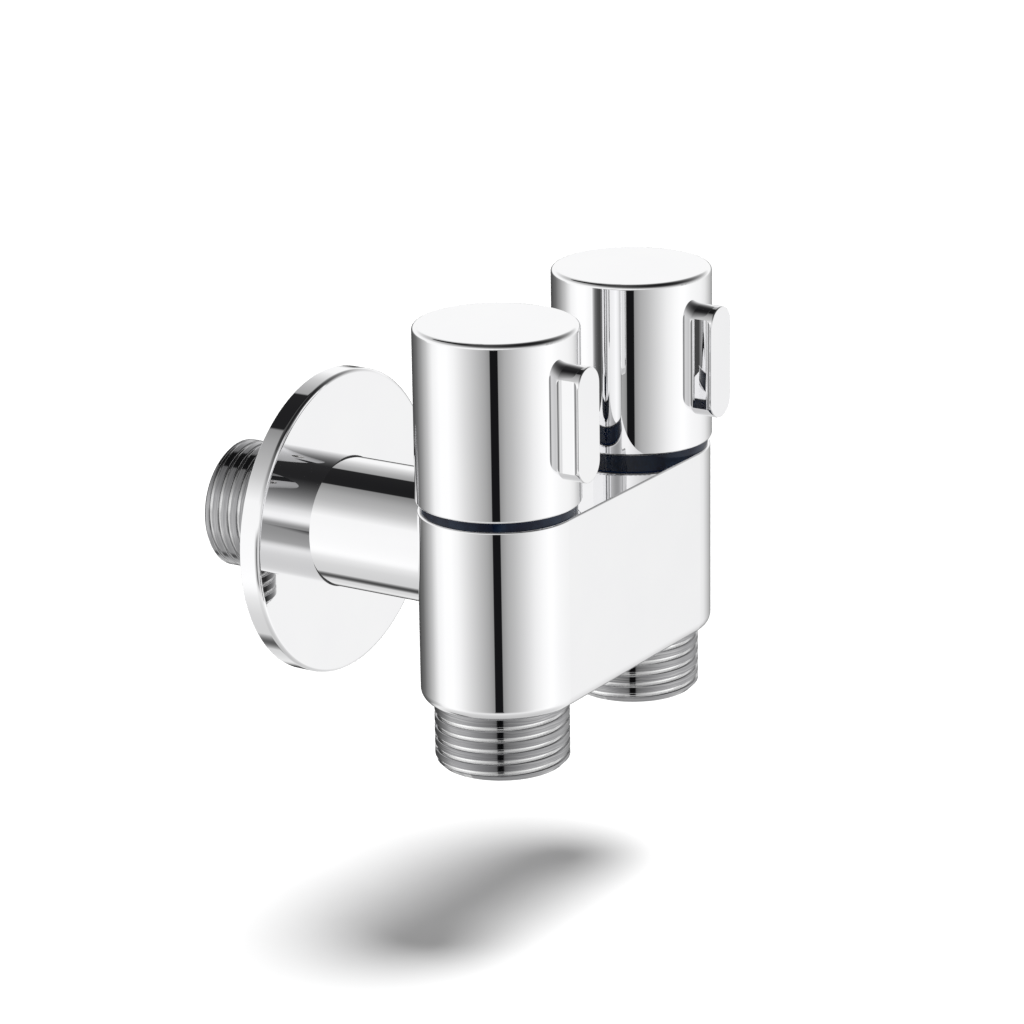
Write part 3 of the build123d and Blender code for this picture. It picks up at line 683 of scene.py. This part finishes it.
def cut_copy(node, point, outward, finish):
    """A welded, closed copy of a CAD node without what lies beyond a plane; it keeps the CAD normals."""
    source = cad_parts[node].data
    known = corner_normals(source)
    mesh = source.copy()
    shape = bmesh.new()
    shape.from_mesh(mesh)
    bmesh.ops.remove_doubles(shape, verts=shape.verts, dist=BODY_WELD)
    everything = shape.verts[:] + shape.edges[:] + shape.faces[:]
    cut = bmesh.ops.bisect_plane(
        shape, geom=everything, dist=ON_PLANE, plane_co=point, plane_no=outward, clear_outer=True)
    rim = [part for part in cut["geom_cut"] if isinstance(part, bmesh.types.BMEdge)]
    bmesh.ops.triangle_fill(shape, edges=rim, use_beauty=True, normal=outward)
    open_edges = sum(1 for one in shape.edges if len(one.link_faces) != 2)
    shape.to_mesh(mesh)
    shape.free()
    normals, kept = [], 0
    for face in mesh.polygons:
        face.use_smooth = True
        for corner in face.loop_indices:
            at = mesh.vertices[mesh.loops[corner].vertex_index].co
            normal = known.get(place_key(at, face.center))
            kept += normal is not None
            normals.append(normal or face.normal.copy())
    mesh.normals_split_custom_set(normals)
    mesh.name = f"{node}_trimmed"
    mesh.materials.clear()
    mesh.materials.append(finishes[finish])
    piece = bpy.data.objects.new(f"{node}_trimmed", mesh)
    bpy.context.scene.collection.objects.link(piece)
    print(piece.name, "has", len(mesh.polygons), "faces and", open_edges, "open edges")
    print(kept, "of", len(normals), "corner normals kept")
    return piece


CUT_ALLOWANCE = 0.02 * MM
cut_at = Vector((0, 0, shoulder_z - CUT_ALLOWANCE))
body_piece = cut_copy("valve_body", cut_at, Vector((0, 0, -1)), "polished_chrome")
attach(body_piece, "valve")
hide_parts("valve_body")

# %% [markdown]
# ## The turned pieces: inlet tube and wall flange
# Both are turned parts: one outline, spun about the inlet axis. A tree takes the outline as a chain of points,
# each holding radius and depth, and bends a sheet of points round the axis, one row for each outline point.
# Extra points just inside each rounded edge keep the flat face flat in its reflections. The flange isn't
# mirrored in any piece, and the flange, the tube and the inlet thread cast no shadow, so that the tube's
# bands and the blob stay clean.

# %% Turning tree
turning_tree, turning_given, turning_result = start_shape_tree("turned_piece", [
    ("Segments", "NodeSocketInt", 193), ("Place", "NodeSocketVector", None), ("Turn", "NodeSocketVector", None)])


def turning_sum(operation, *values):
    """One Math node in the turning tree."""
    return sum_node(turning_tree, operation, *values)


outline = turning_given.outputs["Geometry"]
outline_size = add_node(turning_tree, "GeometryNodeAttributeDomainSize", {"Geometry": outline}, component="MESH")
outline_count = outline_size.outputs["Point Count"]
rows_needed = turning_sum("ADD", outline_count, 1)
blank = add_node(turning_tree, "GeometryNodeMeshGrid", {
    "Size X": 1.0, "Size Y": 1.0, "Vertices X": turning_given.outputs["Segments"],
    "Vertices Y": rows_needed}).outputs[0]
point_position = add_node(turning_tree, "GeometryNodeInputPosition").outputs[0]
on_blank = add_node(turning_tree, "ShaderNodeSeparateXYZ", {0: point_position})
rows_up = turning_sum("MULTIPLY", turning_sum("ADD", on_blank.outputs["Y"], 0.5), outline_count)
outline_row = turning_sum("MODULO", turning_sum("ROUND", rows_up), outline_count)
sampler = add_node(
    turning_tree, "GeometryNodeSampleIndex", {"Geometry": outline}, data_type="FLOAT_VECTOR", domain="POINT")
turning_tree.links.new(point_position, sampler.inputs["Value"])
turning_tree.links.new(outline_row, sampler.inputs["Index"])
point_of_outline = add_node(turning_tree, "ShaderNodeSeparateXYZ", {0: sampler.outputs[0]})
sweep = turning_sum("MULTIPLY", turning_sum("ADD", on_blank.outputs["X"], 0.5), 2 * math.pi)
spun = add_node(turning_tree, "ShaderNodeCombineXYZ", {
    "X": turning_sum("MULTIPLY", point_of_outline.outputs["X"], turning_sum("COSINE", sweep)),
    "Y": turning_sum("MULTIPLY", point_of_outline.outputs["X"], turning_sum("SINE", sweep)),
    "Z": point_of_outline.outputs["Z"]}).outputs[0]
turned = add_node(turning_tree, "GeometryNodeSetPosition", {"Geometry": blank, "Position": spun}).outputs[0]
turned_way = add_node(turning_tree, "FunctionNodeEulerToRotation", {0: turning_given.outputs["Turn"]}).outputs[0]
turned = add_node(turning_tree, "GeometryNodeTransform", {
    "Geometry": turned, "Translation": turning_given.outputs["Place"], "Rotation": turned_way}).outputs[0]
close_and_finish(turning_tree, turned, turning_given, turning_result)
print("turning tree has", len(turning_tree.nodes), "nodes")

# %% Outline of the flange: a shallow cup with a hub and a ring groove


def outline_mesh(name, points):
    """A chain of points, each (radius, depth), as a mesh for the turning tree."""
    chain = bpy.data.meshes.new(name)
    chain.from_pydata([(radius, 0, depth) for radius, depth in points], [], [])
    return chain


def rounded(centre_radius, centre_depth, size, start, stop, steps=8):
    """Points of a rounded edge; angles in degrees, counted from outward towards the front."""
    angles = [math.radians(start + (stop - start) * step / steps) for step in range(steps + 1)]
    return [(centre_radius + size * math.cos(one), centre_depth + size * math.sin(one)) for one in angles]


FLANGE_EDGE = 0.7 * MM
FLANGE_WALL = 1.0 * MM
SMALL = 0.08 * MM
SUPPORT = 0.04 * MM
flange_r = (flange_high.x - flange_low.x) / 2
flange_t = flange_high.y - flange_low.y
flange_bore = 10.75 * MM
hub_r = 13.85 * MM
groove_r = 12.3 * MM
groove_middle = flange_high.y - (ring_low.y + ring_high.y) / 2
groove_half = 0.9 * MM
flange_points = [(flange_r - FLANGE_WALL, 0), (flange_r - SMALL - SUPPORT, 0)]
flange_points += rounded(flange_r - SMALL, SMALL, SMALL, -90, 0, 3)
flange_points += [(flange_r, SMALL + SUPPORT), (flange_r, flange_t - FLANGE_EDGE - SUPPORT)]
flange_points += rounded(flange_r - FLANGE_EDGE, flange_t - FLANGE_EDGE, FLANGE_EDGE, 0, 90, 12)
flange_points += [(flange_r - FLANGE_EDGE - SUPPORT, flange_t), (flange_bore + SMALL + SUPPORT, flange_t)]
flange_points += rounded(flange_bore + SMALL, flange_t - SMALL, SMALL, 90, 180, 3)
flange_points += [(flange_bore, groove_middle + groove_half), (groove_r, groove_middle + groove_half)]
flange_points += [(groove_r, groove_middle - groove_half), (flange_bore, groove_middle - groove_half), (flange_bore, 0)]
flange_points += [(hub_r, 0), (hub_r, flange_t - FLANGE_WALL), (flange_r - FLANGE_WALL, flange_t - FLANGE_WALL)]
flange_piece = bake_shape(
    "turned_flange", turning_tree, {
        "Segments": 241, "Place": (0, flange_high.y, 0), "Turn": (math.pi / 2, 0, 0),
        "Material": finishes["polished_chrome"]},
    start_mesh=outline_mesh("flange_outline", flange_points), sharp=32)
flange_piece.visible_glossy = False
flange_piece.visible_shadow = False
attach(flange_piece, "flange")
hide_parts("wall_flange")

# %% Outline of the inlet tube: pipe, spigot and ring groove
tube_r = (tube_high.x - tube_low.x) / 2
spigot_r = 9.0 * MM
ring_groove_r = 7.62 * MM
seal_low, seal_high = (Vector(corner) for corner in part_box("tube_seal"))
seal_middle = -(seal_low.y + seal_high.y) / 2
seal_half = 0.8 * MM
shoulder = -(body_y + (body_high.y - body_low.y) / 2)
spigot_end = -tube_low.y
SPIGOT_CHAMFER = 0.4 * MM
groove_near = seal_middle - seal_half
groove_far = seal_middle + seal_half
tube_points = [(TUBE_BORE, 0), (tube_r - SMALL, 0), (tube_r, SMALL), (tube_r, SMALL + SUPPORT)]
tube_points += [(tube_r, shoulder - SUPPORT), (tube_r, shoulder), (spigot_r, shoulder), (spigot_r, groove_near)]
tube_points += [(ring_groove_r, groove_near), (ring_groove_r, groove_far), (spigot_r, groove_far)]
tube_points += [(spigot_r, spigot_end - SPIGOT_CHAMFER), (spigot_r - SPIGOT_CHAMFER, spigot_end)]
tube_points += [(TUBE_BORE, spigot_end)]
tube_piece = bake_shape(
    "turned_inlet_tube", turning_tree, {
        "Segments": 193, "Place": (0, 0, 0), "Turn": (math.pi / 2, 0, 0), "Material": finishes["polished_chrome"]},
    start_mesh=outline_mesh("tube_outline", tube_points), sharp=32)
for piece in (tube_piece, threads["inlet"]):
    piece.visible_shadow = False
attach(tube_piece, "valve")
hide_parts("inlet_tube")

# %% [markdown]
# ## Dress the pieces that stay
# The handles and the inner pieces keep their CAD shape, which is exact and already smooth. Each takes the
# finish of its material; the two discs are polished ceramic, the seals rubber, the glide rings dark plastic.
# The handles, the flange's rubber ring and the strainer cast no shadow, so that the blob under the body
# stays compact.

# %% Finish for each CAD piece
finish_of = {
    "handle": "polished_chrome", "headwork": "raw_brass", "spindle": "raw_brass", "grub_screw": "stainless",
    "clip": "stainless", "fixed_disc": "alumina", "turning_disc": "alumina", "head_seal": "black_rubber",
    "seat_seal": "black_rubber", "spindle_seals": "black_rubber", "glide_ring": "navy_plastic",
    "handle_insert": "white_plastic", "thrust_washer": "white_plastic", "tube_seal": "black_rubber",
    "flange_ring": "black_rubber", "inlet_strainer": "stainless"}
replaced = {"valve_body", "inlet_tube", "wall_flange"}
without_shadow = ("handle", "flange_ring", "inlet_strainer")
for name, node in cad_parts.items():
    if name in replaced:
        continue
    part = name.removeprefix("left_").removeprefix("right_")
    node.data.materials.clear()
    node.data.materials.append(finishes[finish_of[part]])
    node.visible_shadow = part not in without_shadow
print("dressed", len(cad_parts) - len(replaced), "CAD pieces")
